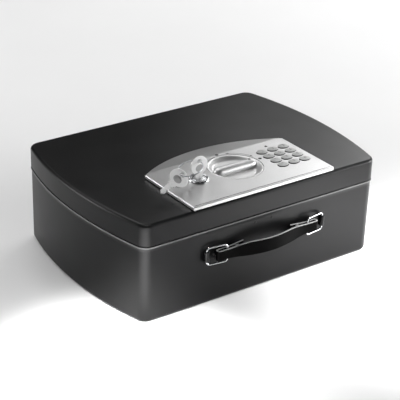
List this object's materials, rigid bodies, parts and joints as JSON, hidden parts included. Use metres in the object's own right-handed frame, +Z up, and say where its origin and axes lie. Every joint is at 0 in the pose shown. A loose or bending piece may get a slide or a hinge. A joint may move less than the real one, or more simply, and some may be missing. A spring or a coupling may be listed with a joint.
{
  "type": "cash box",
  "caption": "Bow-sided steel cash box with a hinged lid, keypad and latch knob panel, override key lock with keys, and a carrying handle.",
  "frame": {"origin": "on the floor, at the middle of the case between its front and back walls and its bowed sides", "axes": "+X to the right along the front, +Y from the front to the hinged back, +Z up"},
  "size_m": [0.3216, 0.2478, 0.1378],
  "materials": {
    "shell_paint": "satin black paint, fine texture",
    "mat_felt": "black felt",
    "zinc_steel": "zinc plated",
    "housing_silver": "silver paint on moulded plastic",
    "plate_silver": "fine satin",
    "knob_silver": "silver paint",
    "chrome_plate": "polished",
    "key_nickel": "nickel plate, lightly worn",
    "grip_plastic": "moulded, soft sheen",
    "button_rubber": "matte",
    "circuit_board": "green solder mask",
    "led_lens": "clear red",
    "coil_winding": "enamelled wire in a frame",
    "cover_plastic": "moulded texture",
    "nut_brass": "turned",
    "battery_sleeve": "printed sleeve, plain"
  },
  "bodies": {
    "base": {"base_shell": "shell_paint", "floor_mat": "mat_felt", "strike_plate": "zinc_steel", "strike_rivet_left": "shell_paint", "strike_rivet_right": "shell_paint", "hinge_base_leaf_left": "shell_paint", "hinge_base_leaf_right": "shell_paint", "hinge_pin_left": "zinc_steel", "hinge_pin_right": "zinc_steel", "handle_bracket_left": "shell_paint", "handle_bracket_right": "shell_paint", "handle_rivet_left": "zinc_steel", "handle_rivet_right": "zinc_steel"},
    "lid": {"lid_shell": "shell_paint", "hinge_lid_leaf_left": "shell_paint", "hinge_lid_leaf_right": "shell_paint", "panel_bezel": "housing_silver", "faceplate": "plate_silver", "lock_cover": "cover_plastic", "cover_screw_1": "zinc_steel", "cover_screw_2": "zinc_steel", "cover_screw_3": "zinc_steel", "cover_screw_4": "zinc_steel", "keypad_board": "circuit_board", "status_led": "led_lens", "solenoid_coil": "coil_winding", "lock_barrel": "chrome_plate", "lock_nut": "nut_brass", "battery_1": "battery_sleeve", "battery_2": "battery_sleeve", "battery_3": "battery_sleeve", "battery_4": "battery_sleeve"},
    "knob": {"latch_knob": "knob_silver", "knob_cam": "zinc_steel"},
    "bolt": {"bolt_bar": "zinc_steel"},
    "plunger": {"solenoid_plunger": "zinc_steel"},
    "plug": {"lock_plug": "chrome_plate", "override_cam": "zinc_steel"},
    "key": {"inserted_key": "key_nickel"},
    "ring": {"key_ring": "key_nickel"},
    "spare": {"spare_key": "key_nickel"},
    "battery_door": {"battery_door": "cover_plastic"},
    "grip": {"handle_grip": "grip_plastic"},
    "loop_left": {"handle_loop_left": "chrome_plate"},
    "loop_right": {"handle_loop_right": "chrome_plate"},
    "button_1": {"keypad_button_1": "button_rubber"},
    "button_2": {"keypad_button_2": "button_rubber"},
    "button_3": {"keypad_button_3": "button_rubber"},
    "button_4": {"keypad_button_4": "button_rubber"},
    "button_5": {"keypad_button_5": "button_rubber"},
    "button_6": {"keypad_button_6": "button_rubber"},
    "button_7": {"keypad_button_7": "button_rubber"},
    "button_8": {"keypad_button_8": "button_rubber"},
    "button_9": {"keypad_button_9": "button_rubber"},
    "button_10": {"keypad_button_10": "button_rubber"},
    "button_11": {"keypad_button_11": "button_rubber"},
    "button_12": {"keypad_button_12": "button_rubber"}
  },
  "joints": [
    {"name": "lid_hinge", "type": "hinge", "parent": "base", "child": "lid", "pos_m": [0, 0.1164, 0.0846], "axis": [-1, 0, 0], "range_deg": [0, 100]},
    {"name": "knob_turn", "type": "hinge", "parent": "lid", "child": "knob", "pos_m": [0.0015, -0.057, 0.112], "axis": [0, 0, 1], "range_deg": [0, 90]},
    {"name": "bolt_slide", "type": "slide", "parent": "lid", "child": "bolt", "axis": [0, -1, 0], "range_m": [0, 0.009]},
    {"name": "plunger_slide", "type": "slide", "parent": "lid", "child": "plunger", "axis": [1, 0, 0], "range_m": [-0.0025, 0], "stiffness_N_per_m": 120},
    {"name": "lock_turn", "type": "hinge", "parent": "lid", "child": "plug", "pos_m": [-0.0478, -0.0623, 0.1136], "axis": [0, 0, 1], "range_deg": [-90, 0]},
    {"name": "key_draw", "type": "slide", "parent": "plug", "child": "key", "axis": [0, 0, 1], "range_m": [0, 0.016]},
    {"name": "ring_swing", "type": "hinge", "parent": "key", "child": "ring", "pos_m": [-0.0478, -0.0623, 0.1324], "axis": [-0.181, 0.9817, -0.0586], "range_deg": [0, 30]},
    {"name": "spare_key_swing", "type": "hinge", "parent": "ring", "child": "spare", "pos_m": [-0.07192, -0.06721, 0.12459], "axis": [-0.181, 0.9817, -0.0586], "range_deg": [0, 20]},
    {"name": "battery_door_slide", "type": "slide", "parent": "lid", "child": "battery_door", "axis": [0, 1, 0], "range_m": [0, 0.045]},
    {"name": "handle_pull", "type": "slide", "parent": "base", "child": "grip", "axis": [0, -1, 0], "range_m": [0, 0.011]},
    {"name": "loop_swing_left", "type": "hinge", "parent": "base", "child": "loop_left", "pos_m": [-0.0733, -0.1153, 0.056], "axis": [0, 0, -1], "range_deg": [0, 31.1]},
    {"name": "loop_swing_right", "type": "hinge", "parent": "base", "child": "loop_right", "pos_m": [0.0733, -0.1153, 0.056], "axis": [0, 0, 1], "range_deg": [0, 31.1]},
    {"name": "button_1_press", "type": "slide", "parent": "lid", "child": "button_1", "axis": [0, 0, -1], "range_m": [0, 0.001], "stiffness_N_per_m": 300},
    {"name": "button_2_press", "type": "slide", "parent": "lid", "child": "button_2", "axis": [0, 0, -1], "range_m": [0, 0.001], "stiffness_N_per_m": 300},
    {"name": "button_3_press", "type": "slide", "parent": "lid", "child": "button_3", "axis": [0, 0, -1], "range_m": [0, 0.001], "stiffness_N_per_m": 300},
    {"name": "button_4_press", "type": "slide", "parent": "lid", "child": "button_4", "axis": [0, 0, -1], "range_m": [0, 0.001], "stiffness_N_per_m": 300},
    {"name": "button_5_press", "type": "slide", "parent": "lid", "child": "button_5", "axis": [0, 0, -1], "range_m": [0, 0.001], "stiffness_N_per_m": 300},
    {"name": "button_6_press", "type": "slide", "parent": "lid", "child": "button_6", "axis": [0, 0, -1], "range_m": [0, 0.001], "stiffness_N_per_m": 300},
    {"name": "button_7_press", "type": "slide", "parent": "lid", "child": "button_7", "axis": [0, 0, -1], "range_m": [0, 0.001], "stiffness_N_per_m": 300},
    {"name": "button_8_press", "type": "slide", "parent": "lid", "child": "button_8", "axis": [0, 0, -1], "range_m": [0, 0.001], "stiffness_N_per_m": 300},
    {"name": "button_9_press", "type": "slide", "parent": "lid", "child": "button_9", "axis": [0, 0, -1], "range_m": [0, 0.001], "stiffness_N_per_m": 300},
    {"name": "button_10_press", "type": "slide", "parent": "lid", "child": "button_10", "axis": [0, 0, -1], "range_m": [0, 0.001], "stiffness_N_per_m": 300},
    {"name": "button_11_press", "type": "slide", "parent": "lid", "child": "button_11", "axis": [0, 0, -1], "range_m": [0, 0.001], "stiffness_N_per_m": 300},
    {"name": "button_12_press", "type": "slide", "parent": "lid", "child": "button_12", "axis": [0, 0, -1], "range_m": [0, 0.001], "stiffness_N_per_m": 300}
  ],
  "couplings": [
    {"joint": "knob_turn", "follows": "bolt_slide", "rad_per_m": 174.53},
    {"joint": "loop_swing_left", "follows": "handle_pull", "rad_per_m": 49.2},
    {"joint": "loop_swing_right", "follows": "handle_pull", "rad_per_m": 49.2}
  ]
}
